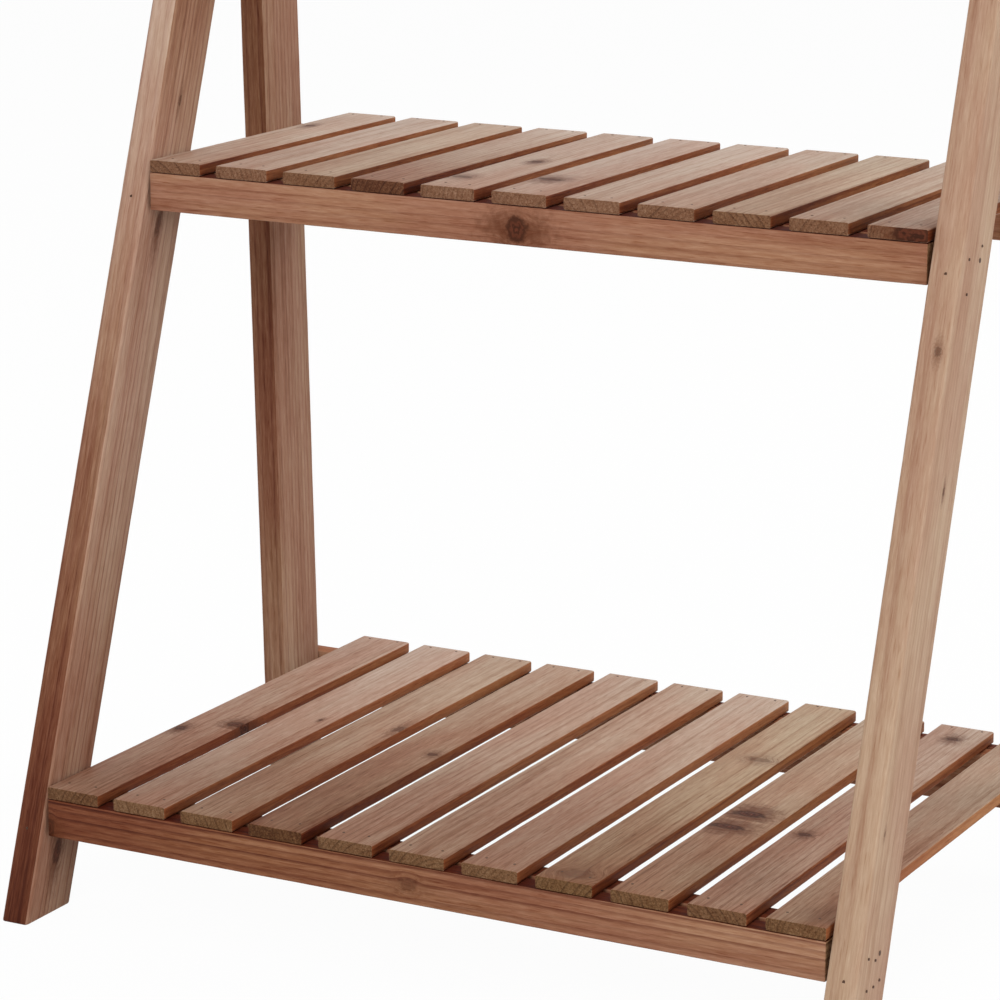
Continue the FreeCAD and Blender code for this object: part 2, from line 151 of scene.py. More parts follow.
# wood: fir, planed and dipped in a thin brown stain. The soft early wood drinks most of it, so the
# faces are a dusty rose brown with darker ring lines, the sawn edges are redder and darker, partly
# from stain and partly as painted shade of the gaps they face, and the sawn ends go olive. There is no
# varnish, so the gloss is faint
def stainedFir(name, look):
    material = emptyMaterial(name)
    tree = material.node_tree
    point = addNode(tree, "ShaderNodeAttribute", {"attribute_name": "logPoint"}).outputs["Vector"]
    knot = addNode(tree, "ShaderNodeAttribute", {"attribute_name": "knotPoint"}).outputs["Vector"]
    depth = addNode(tree, "ShaderNodeAttribute", {"attribute_name": "knotDepth"}).outputs["Fac"]
    tone = addNode(tree, "ShaderNodeSeparateXYZ", {}, {0: addNode(
        tree, "ShaderNodeAttribute", {"attribute_name": "boardTone"}).outputs["Vector"]}).outputs
    sawn = addNode(tree, "ShaderNodeSeparateXYZ", {}, {0: addNode(
        tree, "ShaderNodeAttribute", {"attribute_name": "sawnFace"}).outputs["Vector"]}).outputs

    # the parts of a knot
    knotAxes = addNode(tree, "ShaderNodeSeparateXYZ", {}, {0: knot}).outputs
    flat = addNode(tree, "ShaderNodeVectorMath", {"operation": "MULTIPLY"}, {0: knot, 1: (1, 1, 0)})
    reach = addNode(tree, "ShaderNodeVectorMath", {"operation": "LENGTH"}, {0: flat})
    ragged = addNode(tree, "ShaderNodeTexNoise", {}, {"Vector": knot, "Scale": 1.2, "Detail": 4.0,
                     "Roughness": 0.6})
    distance = addNode(tree, "ShaderNodeMath", {"operation": "MULTIPLY_ADD"},
                       {0: ragged, 1: knotShape["ragged"], 2: reach})
    heart = addNode(tree, "ShaderNodeMapRange", {"interpolation_type": "SMOOTHSTEP"},
                    {0: distance, 1: knotShape["heart"][0], 2: knotShape["heart"][1], 3: 1.0, 4: 0.0})
    rimIn = addNode(tree, "ShaderNodeMapRange", {"interpolation_type": "SMOOTHSTEP"},
                    {0: distance, 1: knotShape["rimIn"][0], 2: knotShape["rimIn"][1]})
    rimOut = addNode(tree, "ShaderNodeMapRange", {"interpolation_type": "SMOOTHSTEP"},
                     {0: distance, 1: knotShape["rimOut"][0], 2: knotShape["rimOut"][1],
                      3: knotShape["rimDepth"], 4: 0.0})
    rim = addNode(tree, "ShaderNodeMath", {"operation": "MULTIPLY"}, {0: rimIn, 1: rimOut})
    drawnOut = addNode(tree, "ShaderNodeVectorMath", {"operation": "MULTIPLY"},
                       {0: knot, 1: knotShape["haloStretch"]})
    haloReach = addNode(tree, "ShaderNodeVectorMath", {"operation": "LENGTH"}, {0: drawnOut})
    haloRagged = addNode(tree, "ShaderNodeMath", {"operation": "MULTIPLY_ADD"},
                         {0: ragged, 1: knotShape["haloRagged"], 2: haloReach})
    halo = addNode(tree, "ShaderNodeMapRange", {"interpolation_type": "SMOOTHSTEP"},
                   {0: haloRagged, 1: knotShape["halo"][0], 2: knotShape["halo"][1],
                    3: look["haloDepth"], 4: 0.0})

    # the grain swings round a knot, to the side on which it lies
    bell = addNode(tree, "ShaderNodeMapRange", {"interpolation_type": "SMOOTHSTEP"},
                   {0: reach, 1: 0.0, 2: knotShape["swingReach"], 3: knotShape["swing"], 4: 0.0})
    sideways = addNode(tree, "ShaderNodeMath", {"operation": "MULTIPLY"}, {0: knotAxes[1], 1: knotAxes[2]})
    push = addNode(tree, "ShaderNodeMath", {"operation": "MULTIPLY"}, {0: sideways, 1: bell})
    pushed = addNode(tree, "ShaderNodeCombineXYZ", {}, {1: push, 2: push})
    bent = addNode(tree, "ShaderNodeVectorMath", {"operation": "SUBTRACT"}, {0: point, 1: pushed})

    # year rings: the distance from the pith, which wanders along the log
    slow = addNode(tree, "ShaderNodeVectorMath", {"operation": "MULTIPLY"}, {0: bent, 1: waves["wander"]})
    wander = addNode(tree, "ShaderNodeTexNoise", {}, {"Vector": slow, "Scale": 1.0, "Detail": 3.0,
                     "Roughness": 0.45})
    across = addNode(tree, "ShaderNodeVectorMath", {"operation": "MULTIPLY"}, {0: bent, 1: (0, 1, 1)})
    straight = addNode(tree, "ShaderNodeVectorMath", {"operation": "LENGTH"}, {0: across})
    radius = addNode(tree, "ShaderNodeMath", {"operation": "MULTIPLY_ADD"},
                     {0: wander, 1: look["wander"], 2: straight})
    rings = addNode(tree, "ShaderNodeMath", {"operation": "DIVIDE"}, {0: radius, 1: look["ringWidth"]})
    year = addNode(tree, "ShaderNodeMath", {"operation": "FRACT"}, {0: rings})
    yearNumber = addNode(tree, "ShaderNodeMath", {"operation": "FLOOR"}, {0: rings})
    goodYear = addNode(tree, "ShaderNodeMapRange", {}, {0: addNode(
        tree, "ShaderNodeTexWhiteNoise", {"noise_dimensions": "1D"}, {"W": yearNumber}).outputs["Value"],
        3: lateWood["poorYear"], 4: 1.0})
    lateRise = addNode(tree, "ShaderNodeMapRange", {"interpolation_type": "SMOOTHSTEP"},
                       {0: year, 1: look["lateFrom"], 2: lateWood["full"]})
    lateDrop = addNode(tree, "ShaderNodeMapRange", {"interpolation_type": "SMOOTHSTEP"},
                       {0: year, 1: lateWood["breaksOff"], 2: 1.0, 3: 1.0, 4: 0.0})
    lateShape = addNode(tree, "ShaderNodeMath", {"operation": "MULTIPLY"}, {0: lateRise, 1: lateDrop})
    lateYear = addNode(tree, "ShaderNodeMath", {"operation": "MULTIPLY"}, {0: lateShape, 1: goodYear})
    late = addNode(tree, "ShaderNodeMath", {"operation": "MULTIPLY"}, {0: lateYear, 1: tone[2]})

    # fibres, streaks and patches
    fine = addNode(tree, "ShaderNodeVectorMath", {"operation": "MULTIPLY"}, {0: bent, 1: waves["fibre"]})
    fibre = addNode(tree, "ShaderNodeTexNoise", {}, {"Vector": fine, "Scale": 1.0, "Detail": 4.0,
                    "Roughness": 0.7})
    broad = addNode(tree, "ShaderNodeVectorMath", {"operation": "MULTIPLY"}, {0: bent, 1: waves["streak"]})
    streak = addNode(tree, "ShaderNodeTexNoise", {}, {"Vector": broad, "Scale": 1.0, "Detail": 4.0,
                     "Roughness": 0.62})
    wide = addNode(tree, "ShaderNodeVectorMath", {"operation": "MULTIPLY"}, {0: point, 1: waves["patch"]})
    patch = addNode(tree, "ShaderNodeTexNoise", {}, {"Vector": wide, "Scale": 1.0, "Detail": 4.0,
                    "Roughness": 0.6})
    # resin ducts show as short dark ticks
    thin = addNode(tree, "ShaderNodeVectorMath", {"operation": "MULTIPLY"}, {0: bent, 1: waves["duct"]})
    duct = addNode(tree, "ShaderNodeTexNoise", {}, {"Vector": thin, "Scale": 1.0, "Detail": 1.0})

    patchShare = addNode(tree, "ShaderNodeMapRange", {"interpolation_type": "SMOOTHSTEP"},
                         {0: patch, 1: spans["patch"][0], 2: spans["patch"][1]})
    early = addNode(tree, "ShaderNodeMix", {"data_type": "RGBA"},
                    {0: patchShare, 6: toLinear(look["pale"]), 7: toLinear(look["rosy"])})
    lateShare = addNode(tree, "ShaderNodeMath", {"operation": "MULTIPLY", "use_clamp": True},
                        {0: late, 1: look["lateDepth"]})
    ringed = addNode(tree, "ShaderNodeMix", {"data_type": "RGBA"},
                     {0: lateShare, 6: early, 7: toLinear(look["late"])})
    streakShare = addNode(tree, "ShaderNodeMapRange", {"interpolation_type": "SMOOTHSTEP"},
                          {0: streak, 1: spans["streak"][0], 2: spans["streak"][1],
                           3: 0.0, 4: look["streakDepth"]})
    streaked = addNode(tree, "ShaderNodeMix", {"data_type": "RGBA"},
                       {0: streakShare, 6: ringed, 7: toLinear(look["streak"])})

    # end grain: pits, and the rings cut square
    pits = addNode(tree, "ShaderNodeTexNoise", {}, {"Vector": point, "Scale": waves["pit"][0],
                   "Detail": 3.0, "Roughness": 0.6})
    pitShare = addNode(tree, "ShaderNodeMapRange", {},
                       {0: pits, 1: spans["pit"][0], 2: spans["pit"][1]})
    endEarly = addNode(tree, "ShaderNodeMix", {"data_type": "RGBA"},
                       {0: pitShare, 6: toLinear(look["endPale"]), 7: toLinear(look["endDark"])})
    endShare = addNode(tree, "ShaderNodeMath", {"operation": "MULTIPLY", "use_clamp": True},
                       {0: late, 1: look["endLateDepth"]})
    ended = addNode(tree, "ShaderNodeMix", {"data_type": "RGBA"},
                    {0: endShare, 6: endEarly, 7: toLinear(look["endLate"])})
    cutWood = addNode(tree, "ShaderNodeMix", {"data_type": "RGBA"}, {0: sawn[0], 6: streaked, 7: ended})

    # more stain darkens and reddens at once, as a thicker layer of dye does: colour to the power of depth.
    # On the narrow sides of slats and rails the depth also holds painted shade
    fibreStain = addNode(tree, "ShaderNodeMapRange", {"clamp": False},
                         {0: fibre, 1: spans["noise"][0], 2: spans["noise"][1],
                          3: 1 + look["fibreDepth"], 4: 1 - look["fibreDepth"]})
    streakStain = addNode(tree, "ShaderNodeMapRange", {"clamp": False},
                          {0: streak, 1: spans["noise"][0], 2: spans["noise"][1],
                           3: 1 - look["streakStain"], 4: 1 + look["streakStain"]})
    ductStain = addNode(tree, "ShaderNodeMapRange", {"interpolation_type": "SMOOTHSTEP"},
                        {0: duct, 1: spans["duct"][0], 2: spans["duct"][1], 3: 1.0, 4: look["duct"]})
    grainStain = addNode(tree, "ShaderNodeMath", {"operation": "MULTIPLY"},
                         {0: fibreStain, 1: streakStain})
    fineStain = addNode(tree, "ShaderNodeMath", {"operation": "MULTIPLY"}, {0: grainStain, 1: ductStain})
    stain = addNode(tree, "ShaderNodeMath", {"operation": "MULTIPLY"}, {0: fineStain, 1: tone[0]})
    dyedAndShaded = addNode(tree, "ShaderNodeGamma", {}, {"Color": cutWood, "Gamma": stain})
    # the narrow sides are multiplied by the edge colour: redder sawn wood, and painted shade of the gaps
    # they face
    edged = addNode(tree, "ShaderNodeMix", {"data_type": "RGBA", "blend_type": "MULTIPLY"},
                    {0: sawn[1], 6: dyedAndShaded, 7: toLinear(look["edge"])})
    olive = addNode(tree, "ShaderNodeMix", {"data_type": "RGBA", "blend_type": "MULTIPLY"},
                    {0: tone[1], 6: edged, 7: toLinear(look["olive"])})

    # knots lie over everything
    whorl = addNode(tree, "ShaderNodeMath", {"operation": "SINE"}, {0: addNode(
        tree, "ShaderNodeMath", {"operation": "MULTIPLY"}, {0: distance, 1: knotShape["whorls"]})})
    whorlShare = addNode(tree, "ShaderNodeMapRange", {}, {0: whorl, 1: -1.0, 2: 1.0})
    knotWood = addNode(tree, "ShaderNodeMix", {"data_type": "RGBA"},
                       {0: whorlShare, 6: toLinear(look["knot"]), 7: toLinear(look["knotDark"])})
    haloShare = addNode(tree, "ShaderNodeMath", {"operation": "MULTIPLY"}, {0: halo, 1: depth})
    haloed = addNode(tree, "ShaderNodeMix", {"data_type": "RGBA"},
                     {0: haloShare, 6: olive, 7: toLinear(look["halo"])})
    heartShare = addNode(tree, "ShaderNodeMath", {"operation": "MULTIPLY"}, {0: heart, 1: depth})
    hearted = addNode(tree, "ShaderNodeMix", {"data_type": "RGBA"},
                      {0: heartShare, 6: haloed, 7: knotWood})
    rimShare = addNode(tree, "ShaderNodeMath", {"operation": "MULTIPLY"}, {0: rim, 1: depth})
    wood = addNode(tree, "ShaderNodeMix", {"data_type": "RGBA"},
                   {0: rimShare, 6: hearted, 7: toLinear(look["knotDark"])})

    # the plane leaves the late wood standing a few hundredths of a millimetre proud
    relief = addNode(tree, "ShaderNodeMath", {"operation": "MULTIPLY_ADD"},
                     {0: fibre, 1: skin["fibre"], 2: late})
    cracked = addNode(tree, "ShaderNodeMath", {"operation": "MULTIPLY_ADD"},
                      {0: rimShare, 1: skin["crack"], 2: relief})
    bump = addNode(tree, "ShaderNodeBump", {},
                   {"Strength": skin["bump"], "Distance": skin["height"], "Height": cracked})
    dull = addNode(tree, "ShaderNodeMapRange", {},
                   {0: fibre, 1: spans["noise"][0], 2: spans["noise"][1],
                    3: look["roughness"] - skin["glossier"], 4: look["roughness"] + skin["duller"]})
    shader = addNode(tree, "ShaderNodeBsdfPrincipled", {},
                     {"Base Color": wood, "Roughness": dull, "Normal": bump, "IOR": skin["ior"],
                      "Specular IOR Level": skin["specular"]})
    addNode(tree, "ShaderNodeOutputMaterial", {}, {"Surface": shader})
    return material


# fir on a poor hillside grows rings of about 3 mm
slatLook = dict(pale="#B79C8A", rosy="#B08C79", late="#855B45", streak="#93684F", edge="#F8CBA2",
                endPale="#9B7C62", endDark="#82644A", endLate="#5A3F2A", halo="#5A2E18",
                knot="#6C3623", knotDark="#35180A", ringWidth=0.0031, wander=0.010, lateFrom=0.42,
                lateDepth=0.50, streakDepth=0.36, fibreDepth=0.24, endLateDepth=0.6, haloDepth=0.9,
                duct=1.30, streakStain=0.11, olive="#F1F4DA", roughness=0.62)
railLook = dict(slatLook, pale="#B18A70", rosy="#A97E68", late="#7E5140", streak="#8A5A45",
                edge="#FFE8D8", fibreDepth=0.18, duct=1.22, ringWidth=0.0044, wander=0.007,
                lateDepth=0.58)
legLook = dict(slatLook, pale="#B69781", rosy="#AC8672", late="#85584A", streak="#8E604C",
               edge="#FFFFFF", fibreDepth=0.19, duct=1.2, ringWidth=0.0042, wander=0.009, lateDepth=0.50)
woods = {
    "lower": stainedFir("stainedFirLowerSlats", slatLook),
    "middle": stainedFir("stainedFirMiddleSlats", dict(slatLook, pale="#B79E8F", rosy="#B08F7F",
                         endPale="#8E6A54", endDark="#78543F", endLate="#482B1E")),
    "upper": stainedFir("stainedFirUpperSlats", slatLook),
    "rail": stainedFir("stainedFirRails", railLook),
    "leg": stainedFir("stainedFirLegs", legLook),
}
print("wood stained")


# a stick of wood along X, with eased edges and cut across for its wear. What is shaped here takes
# its roundings and its cuts from the dictionary of its piece
def makeStick(size, piece):
    deselectAll()
    bpy.ops.mesh.primitive_cube_add(size=1, location=(0, 0, 0), scale=size)
    stick = bpy.context.object
    bpy.ops.object.transform_apply(location=False, rotation=False, scale=True)
    half = size[0] / 2

    def isLong(first, second):
        return abs(first.x - second.x) > half

    def isEnd(first, second):
        return min(abs(first.x), abs(second.x)) > half - 1e-6 and abs(first.x - second.x) < 1e-6

    cuts = int(size[0] / piece["cutLength"])
    editMesh(stick, "edges", isLong, lambda: bpy.ops.mesh.bevel(offset=piece["edgeRound"], segments=3))
    editMesh(stick, "edges", isLong, lambda: bpy.ops.mesh.subdivide(number_cuts=cuts))
    editMesh(stick, "edges", isEnd, lambda: bpy.ops.mesh.bevel(offset=piece["endRound"], segments=2))
    bpy.ops.object.shade_smooth_by_angle(angle=math.radians(50))
    return stick


def copyPiece(pattern, name):
    piece = pattern.copy()
    piece.data = pattern.data.copy()
    piece.name = piece.data.name = name
    bpy.context.scene.collection.objects.link(piece)
    return piece


# sticks of one size are modelled once, and each is a copy with its own mesh
patterns = {}


def cutStick(name, size, piece):
    key = tuple(round(measure, 5) for measure in size)
    if key not in patterns:
        patterns[key] = makeStick(size, piece)
    return copyPiece(patterns[key], name)


# the plane and the saw leave faces a hair hollow: the whole skin moves in, never out. Each stick is
# worn at its own place in the noise, up to "spread" metres away
wear = {"waveLength": 0.06, "waveDepth": 0.00022, "chipLength": 0.008, "chipDepth": 0.00020, "spread": 9}
waveNoise = bpy.data.textures.new("planingWaves", "CLOUDS")
waveNoise.noise_scale = wear["waveLength"]
chipNoise = bpy.data.textures.new("arrisChips", "CLOUDS")
chipNoise.noise_scale = wear["chipLength"]


def wearStick(stick, chance):
    deselectAll()
    bpy.context.view_layer.objects.active = stick
    stick.select_set(True)
    stick.location = [chance.uniform(0, wear["spread"]) for _ in range(3)]
    for texture, depth in ((waveNoise, wear["waveDepth"]), (chipNoise, wear["chipDepth"])):
        shave = stick.modifiers.new(texture.name, "DISPLACE")
        shave.texture = texture
        shave.texture_coords = "GLOBAL"
        shave.mid_level = 1.0
        shave.strength = depth
        bpy.ops.object.modifier_apply(modifier=shave.name)
    stick.location = (0, 0, 0)


# stain depths are given at even steps from the start of a stick to its end
def stainAt(depths, share):
    step = min(max(share, 0.0), 0.9999) * (len(depths) - 1)
    number = int(step)
    return depths[number] + (depths[number + 1] - depths[number]) * (step - number)


# how a board may lie in its log: turned to either side (radians), its distance from the pith and
# its place along the log (metres)
log = {"turn": (0.5, 1.35), "pith": (0.030, 0.075), "along": (0, 40)}
# a face belongs to the end or to a narrow side where its normal points that way by more than this
facing = {"end": 0.85, "side": 0.75}
noKnot = (50.0, 50.0, 1.0)  # far away


# tells the wood where each corner lies in its log, how deep the stain is there, and which knot
# it belongs to. A board gives the stain of its broad faces and of its narrow sides (on slats and rails the
# side depth is stain plus painted shade), its share of olive, the strength of its rings, and maybe its
# turn in the log
def markWood(stick, size, chance, board, knots=()):
    mesh = stick.data
    turn = board.get("turn") or chance.choice((-1, 1)) * chance.uniform(*log["turn"])
    pith = chance.uniform(*log["pith"])
    slide = chance.uniform(*log["along"])
    cosine, sine = math.cos(turn), math.sin(turn)
    places = []
    for vertex in mesh.vertices:
        x, y, z = vertex.co
        places += [x + slide, y * cosine - z * sine, y * sine + z * cosine + pith]
    mesh.attributes.new("logPoint", "FLOAT_VECTOR", "POINT").data.foreach_set("vector", places)
    knotPlaces, knotDepths, tones, sawnFaces = [], [], [], []
    for face in mesh.polygons:
        onEnd = abs(face.normal.x) > facing["end"]
        onSide = abs(face.normal.y) > facing["side"]
        kind = "end" if onEnd else "side" if onSide else "flat"
        best = None
        for knot in knots:
            gap = abs(knot["at"][0] - face.center.x) / knot["reach"][0]
            if knot["kind"] == kind and (best is None or gap < best[0]):
                best = (gap, knot)
        for loop in face.loop_indices:
            place = mesh.vertices[mesh.loops[loop].vertex_index].co
            aside = place.z if onSide else place.y
            along = place.z if onEnd else place.x
            if best:
                knot = best[1]
                long, wide = knot["reach"]
                middle = 0.0 if onEnd else knot["at"][0]
                knotPlaces += [(along - middle) / long, (aside - knot["at"][1]) / wide,
                               500 * (long + wide)]  # the last is the knot's radius in mm
                knotDepths.append(knot["dark"])
            else:
                knotPlaces += noKnot
                knotDepths.append(0.0)
            depths = board["side"] if onSide else board["stain"]
            tones += [stainAt(depths, place.x / size[0] + 0.5), board["olive"], board["rings"]]
            sawnFaces += [float(onEnd), float(onSide), 0.0]
    mesh.attributes.new("knotPoint", "FLOAT_VECTOR", "CORNER").data.foreach_set("vector", knotPlaces)
    mesh.attributes.new("knotDepth", "FLOAT", "CORNER").data.foreach_set("value", knotDepths)
    mesh.attributes.new("boardTone", "FLOAT_VECTOR", "CORNER").data.foreach_set("vector", tones)
    mesh.attributes.new("sawnFace", "FLOAT_VECTOR", "CORNER").data.foreach_set("vector", sawnFaces)


# a knot from its table: place along the stick and across it, half its length and half its width,
# all in mm from the stick's start and lower edge, then how dark it is
def placeKnot(size, width, kind, along, aside, halfAlong, halfAcross, dark):
    return {"kind": kind, "at": (along / 1000 - size[0] / 2, aside / 1000 - width / 2),
            "reach": (halfAlong / 1000, halfAcross / 1000), "dark": dark}


# slats: 37 by 8 mm, grain from front to back
slats = {
    "edgeRound": 0.0014, "endRound": 0.0007, "cutLength": 0.007, "seed": 11,
    # knots: slat, kind of face, behind the front end, from the right edge (from the underside on a
    # side), half length, half width (mm), how dark
    "knots": {
        "lower": [(1, "flat", 140, 31, 2.6, 2.8, 0.95), (1, "flat", 164, 4, 3.2, 5.0, 0.8),
                  (1, "side", 168, 4, 3.6, 4.0, 1.0), (2, "flat", 198, 9, 1.2, 1.0, 0.8),
                  (3, "flat", 205, 3, 4.0, 2.4, 0.55), (4, "flat", 169, 6, 2.0, 2.4, 0.7),
                  (8, "flat", 258, 13, 2.6, 6.0, 0.4), (9, "flat", 131, 24, 3.0, 8.0, 0.95),
                  (9, "flat", 158, 22, 3.6, 7.5, 1.0), (10, "flat", 139, 26, 2.0, 3.0, 0.85),
                  (10, "flat", 356, 18, 2.4, 3.4, 0.8), (8, "flat", 14, 16, 5.0, 8.0, 0.35)],
        "middle": [(1, "flat", 176, 27, 2.6, 2.4, 0.7), (5, "flat", 112, 17, 2.6, 3.0, 0.85),
                   (5, "flat", 38, 29, 2.6, 5.0, 0.6), (6, "flat", 55, 25, 3.4, 6.0, 0.8),
                   (11, "end", 0, 9, 5.0, 9.0, 1.0)],
        "upper": [(3, "flat", 40, 25, 2.8, 2.4, 0.8), (8, "flat", 70, 11, 3.0, 2.8, 0.7)],
    },
    # stain at the front end and at the rear end, darker towards the front ends
    "stain": {"lower": (1.40, 0.83), "middle": (1.13, 0.76), "upper": (1.05, 0.8)},
    # the sawn sides are darker, partly from the stain they drank and partly as painted shade of the narrow
    # gaps between the slats; the outer side of the last lower slat, which no neighbour shades, gets less
    "sideStainAndShade": {"lower": 1.38, "middle": 1.85, "upper": 1.6},
    "unshadedSides": {"lower_shelf_slat_11": 0.72},
    # slats that took more or less stain than their neighbours, at front and rear, and the olive ones
    "share": {"lower": {1: (1.12, 1.10), 2: (0.95, 0.92), 4: (1.30, 1.06), 7: (0.98, 0.94),
                        10: (1.05, 1.08)},
              "middle": {1: (1.02, 0.88), 3: (1.03, 0.98), 4: (1.38, 0.90), 7: (0.95, 0.90)},
              "upper": {}},
    "olive": {"lower": {3: 0.3, 8: 0.6, 9: 0.4, 11: 0.3}, "middle": {3: 0.4, 9: 0.5, 10: 0.3},
              "upper": {2: 0.6, 6: 0.8}},
    # what the other slats draw from
    "usualShare": (0.97, 1.04), "usualOlive": (0, 0.25), "rings": (0.5, 1.0),
}


def buildSlats():
    for tierNumber, tier in enumerate(tierNames):
        shelf = f"{tier}_shelf"
        low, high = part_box(f"{shelf}_slat_01")
        width, length, thick = high - low
        size = (length, width, thick)
        for node in sorted(name for name in bodyOf if name.startswith(f"{shelf}_slat")):
            number = int(node[-2:])
            low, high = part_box(node)
            slat = cutStick(f"{tier}_slat_{number:02d}", size, slats)
            chance = random.Random(slats["seed"] + 100 * tierNumber + number)
            wearStick(slat, chance)
            knots = [placeKnot(size, thick if knot[1] == "side" else width, *knot[1:])
                     for knot in slats["knots"][tier] if knot[0] == number]
            usual = [chance.uniform(*slats["usualShare"])] * 2
            shares = slats["share"][tier].get(number, usual)
            stain = [depth * share for depth, share in zip(slats["stain"][tier], shares)]
            # the side depth is stain plus painted shade of the gap beside the slat, less on a side that no
            # neighbour shades
            sideStainAndShade = slats["sideStainAndShade"][tier] * slats["unshadedSides"].get(node, 1.0)
            board = {"stain": stain, "side": [depth * sideStainAndShade for depth in stain],
                     "olive": slats["olive"][tier].get(number, chance.uniform(*slats["usualOlive"])),
                     "rings": chance.uniform(*slats["rings"])}
            markWood(slat, size, chance, board, knots)
            slat.data.transform(Matrix.Translation((low + high) / 2)
                                @ Matrix.Rotation(math.pi / 2, 4, "Z"))
            seatPiece(slat, woods[tier], shelf, node)
    print("slats laid")


buildSlats()


# rails under the slats, grain from left to right
rails = {
    "edgeRound": 0.0012, "endRound": 0.0008, "cutLength": 0.009, "seed": 41,
    "turn": (1.2, 1.7),  # sawn so that the rings run as lines along the front
    # knots: kind of face, from the left end, above the lower edge, half length, half width (mm),
    # how dark
    "knots": {
        "middle_shelf_front_rail": [("flat", 256.5, 9.5, 5.0, 5.4, 0.9)],
        "lower_shelf_front_rail": [("flat", 1, 6, 2.4, 4.6, 0.75), ("flat", 252, 12, 4.0, 3.0, 0.4)],
    },
    # the "side" depths darken each rail's top and bottom faces: stain, and painted shade where the slats
    # lie over the tops
    "boards": {
        "lower_shelf_front_rail": {"stain": (1.96, 1.44, 1.18), "side": (3.0, 2.8), "olive": 0.1,
                                   "rings": 1.4},
        "middle_shelf_front_rail": {"stain": (1.22, 1.32), "side": (3.0, 3.0), "olive": 0.0,
                                    "rings": 0.6},
    },
    "board": {"stain": (1.3, 1.3), "side": (2.4, 2.4), "olive": 0.1, "rings": 0.8},
}


def buildRails():
    upright = Matrix.Rotation(math.pi / 2, 4, "X")
    places = [(tier, place) for tier in tierNames for place in ("front", "pivot", "rear")]
    for number, (tier, place) in enumerate(places):
        node = f"{tier}_shelf_{place}_rail"
        low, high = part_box(node)
        length, thick, height = high - low
        size = (length, height, thick)
        rail = cutStick(f"{tier}_{place}_rail", size, rails)
        chance = random.Random(rails["seed"] + number)
        wearStick(rail, chance)
        knots = [placeKnot(size, height, *knot) for knot in rails["knots"].get(node, [])]
        board = dict(rails["boards"].get(node, rails["board"]), turn=chance.uniform(*rails["turn"]))
        markWood(rail, size, chance, board, knots)
        rail.data.transform(Matrix.Translation((low + high) / 2) @ upright)
        seatPiece(rail, woods["rail"], f"{tier}_shelf", node)
    print("rails fixed")


buildRails()


# cross bars behind the back legs, leaning with them (degrees)
bars = {
    "height": 0.035, "thick": 0.0125, "lean": 2.8,
    "edgeRound": 0.0014, "endRound": 0.001, "cutLength": 0.009, "seed": 61,
    "board": {"stain": (1.2, 1.3), "side": (1.3, 1.4), "olive": 0.1, "rings": 0.8},
}


def barMatrix(tier):
    low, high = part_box(f"back_bar_{tier}")
    return Matrix.Translation((low + high) / 2) @ Matrix.Rotation(math.radians(90 + bars["lean"]), 4, "X")


def buildBars():
    for number, tier in enumerate(tierNames):
        node = f"back_bar_{tier}"
        low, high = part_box(node)
        size = (high.x - low.x, bars["height"], bars["thick"])
        bar = cutStick(f"{tier}_cross_bar", size, bars)
        chance = random.Random(bars["seed"] + number)
        wearStick(bar, chance)
        markWood(bar, size, chance, bars["board"])
        bar.data.transform(barMatrix(tier))
        seatPiece(bar, woods["rail"], "back_frame", node)
    print("cross bars fixed")


buildBars()


# legs, cut level at foot and top
legs = {
    "depth": 0.045, "edgeRound": 0.0026, "endRound": 0.0012, "cutLength": 0.010, "seed": 81,
    "turn": (0.9, 1.4),
    # knots: kind of face (a side is the front or the back), above the floor, behind the front face or
    # on a side from the left, half length, half width (mm), how dark
    "knots": {
        "front_leg_left": [("flat", 485, 23, 2.4, 1.0, 0.6), ("flat", 410, 21, 5.0, 2.2, 0.6),
                           ("flat", 38, 22, 5.0, 3.0, 0.8)],
        "front_leg_right": [("side", 388, 12.4, 1.8, 1.4, 0.5), ("flat", 131, 10, 1.0, 0.9, 0.4),
                            ("flat", 309, 25, 1.6, 1.0, 0.6)],
        "back_leg_left": [("flat", 560, 12, 3.0, 2.2, 0.6)],
        "back_leg_right": [("flat", 300, 20, 4.0, 3.0, 0.8)],
    },
    # stain from the foot to the top, on the broad faces and on the front and back
    "boards": {
        "front_leg_left": {"stain": (1.3, 1.25, 1.0, 1.1, 1.85, 1.85, 1.7),
                           "side": (2.5, 1.72, 0.98, 0.66, 0.66), "olive": 0.0, "rings": 1.0},
        "front_leg_right": {"stain": (0.96, 0.88), "side": (1.02, 0.94), "olive": 0.3, "rings": 0.5},
        "back_leg_left": {"stain": (1.10, 1.35), "side": (1.3, 2.0, 1.6), "olive": 0.1, "rings": 0.9},
        "back_leg_right": {"stain": (1.2, 1.1), "side": (1.2, 1.2), "olive": 0.3, "rings": 0.8},
    },
}


# how far a leg leans from upright, and how deep it is on the level: found in a few rounds, since a
# leg that leans over its height fills its node's box from front to back
def legLean(node):
    low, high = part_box(node)
    spread, height = high.y - low.y, high.z - low.z
    lean = math.atan((spread - legs["depth"]) / height)
    for _ in range(6):
        lean = math.atan((spread - legs["depth"] / math.cos(lean)) / height)
    return (lean if node.startswith("front") else -lean), legs["depth"] / math.cos(lean)


